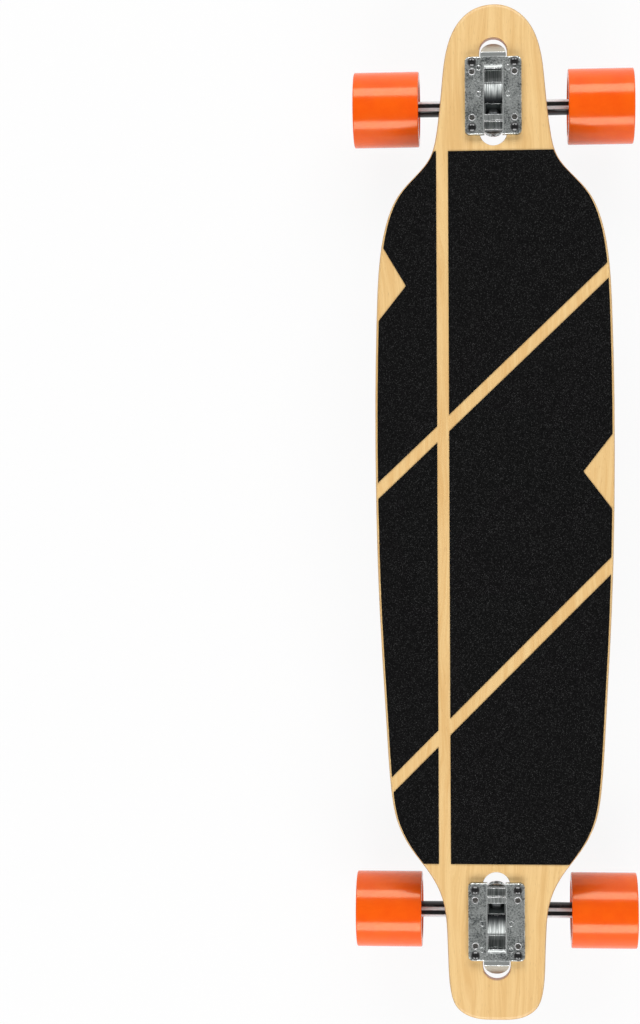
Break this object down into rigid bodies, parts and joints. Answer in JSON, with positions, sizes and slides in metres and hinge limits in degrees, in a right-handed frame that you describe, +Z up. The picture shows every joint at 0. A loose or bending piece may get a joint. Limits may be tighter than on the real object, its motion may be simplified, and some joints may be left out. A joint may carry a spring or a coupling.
{
  "type": "longboard skateboard",
  "caption": "Drop-through longboard skateboard with cut-out ends, tub concave, reverse-kingpin trucks that steer, and urethane wheels on ball bearings.",
  "frame": {"origin": "on the ground, below the middle of the deck's length and width", "axes": "+Y towards the nose, +X to the rider's right, +Z up"},
  "size_m": [0.278, 0.99, 0.1066],
  "materials": {
    "maple": "clear satin lacquer over maple ply",
    "grit_sheet": "black abrasive sheet",
    "baseplate_casting": "tumbled bare metal above the deck, orange paint below it",
    "hanger_casting": "black paint over a casting",
    "steel": "zinc-plated steel",
    "black_steel": "black oxide steel",
    "bushing_urethane": "cast urethane",
    "cup_urethane": "moulded urethane",
    "bearing_steel": "ground bearing steel",
    "spacer_metal": "turned aluminium",
    "cage_nylon": "moulded nylon",
    "bearing_shield": "black coated steel shield",
    "wheel_urethane": "cast urethane, faintly satin"
  },
  "bodies": {
    "board": {"deck": "maple", "grip_tape": "grit_sheet", "front_baseplate": "baseplate_casting", "front_pivot_cup": "cup_urethane", "front_kingpin": "steel", "front_kingpin_nut": "steel", "front_boardside_bushing": "bushing_urethane", "front_roadside_bushing": "bushing_urethane", "front_boardside_washer": "steel", "front_roadside_washer": "steel", "front_mounting_bolts": "black_steel", "front_mounting_nuts": "black_steel", "front_mounting_washers": "black_steel", "rear_baseplate": "baseplate_casting", "rear_pivot_cup": "cup_urethane", "rear_kingpin": "steel", "rear_kingpin_nut": "steel", "rear_boardside_bushing": "bushing_urethane", "rear_roadside_bushing": "bushing_urethane", "rear_boardside_washer": "steel", "rear_roadside_washer": "steel", "rear_mounting_bolts": "black_steel", "rear_mounting_nuts": "black_steel", "rear_mounting_washers": "black_steel"},
    "front_truck_hanger": {"front_hanger": "hanger_casting", "front_axle": "steel", "front_axle_nuts": "steel", "front_speed_washers": "steel", "front_bearing_inner_rings": "bearing_steel", "front_bearing_spacers": "spacer_metal"},
    "rear_truck_hanger": {"rear_hanger": "hanger_casting", "rear_axle": "steel", "rear_axle_nuts": "steel", "rear_speed_washers": "steel", "rear_bearing_inner_rings": "bearing_steel", "rear_bearing_spacers": "spacer_metal"},
    "front_left_wheel_set": {"front_left_wheel": "wheel_urethane", "front_left_bearing_outer_rings": "bearing_steel", "front_left_bearing_balls": "bearing_steel", "front_left_bearing_cages": "cage_nylon", "front_left_bearing_shields": "bearing_shield"},
    "front_right_wheel_set": {"front_right_wheel": "wheel_urethane", "front_right_bearing_outer_rings": "bearing_steel", "front_right_bearing_balls": "bearing_steel", "front_right_bearing_cages": "cage_nylon", "front_right_bearing_shields": "bearing_shield"},
    "rear_left_wheel_set": {"rear_left_wheel": "wheel_urethane", "rear_left_bearing_outer_rings": "bearing_steel", "rear_left_bearing_balls": "bearing_steel", "rear_left_bearing_cages": "cage_nylon", "rear_left_bearing_shields": "bearing_shield"},
    "rear_right_wheel_set": {"rear_right_wheel": "wheel_urethane", "rear_right_bearing_outer_rings": "bearing_steel", "rear_right_bearing_balls": "bearing_steel", "rear_right_bearing_cages": "cage_nylon", "rear_right_bearing_shields": "bearing_shield"}
  },
  "joints": [
    {"name": "front_steer", "type": "hinge", "parent": "board", "child": "front_truck_hanger", "pos_m": [0, 0.40849, 0.0598], "axis": [0, 0.766, 0.6428], "range_deg": [-15, 15], "stiffness_Nm_per_rad": 40, "deforming": ["front_boardside_bushing", "front_roadside_bushing"]},
    {"name": "rear_steer", "type": "hinge", "parent": "board", "child": "rear_truck_hanger", "pos_m": [0, -0.40219, 0.0598], "axis": [0, -0.766, 0.6428], "range_deg": [-15, 15], "stiffness_Nm_per_rad": 40, "deforming": ["rear_boardside_bushing", "rear_roadside_bushing"]},
    {"name": "front_left_spin", "type": "hinge", "parent": "front_truck_hanger", "child": "front_left_wheel_set", "pos_m": [0, 0.4037, 0.0375], "axis": [1, 0, 0], "continuous": true},
    {"name": "front_right_spin", "type": "hinge", "parent": "front_truck_hanger", "child": "front_right_wheel_set", "pos_m": [0, 0.4037, 0.0375], "axis": [1, 0, 0], "continuous": true},
    {"name": "rear_left_spin", "type": "hinge", "parent": "rear_truck_hanger", "child": "rear_left_wheel_set", "pos_m": [0, -0.3974, 0.0375], "axis": [1, 0, 0], "continuous": true},
    {"name": "rear_right_spin", "type": "hinge", "parent": "rear_truck_hanger", "child": "rear_right_wheel_set", "pos_m": [0, -0.3974, 0.0375], "axis": [1, 0, 0], "continuous": true}
  ]
}
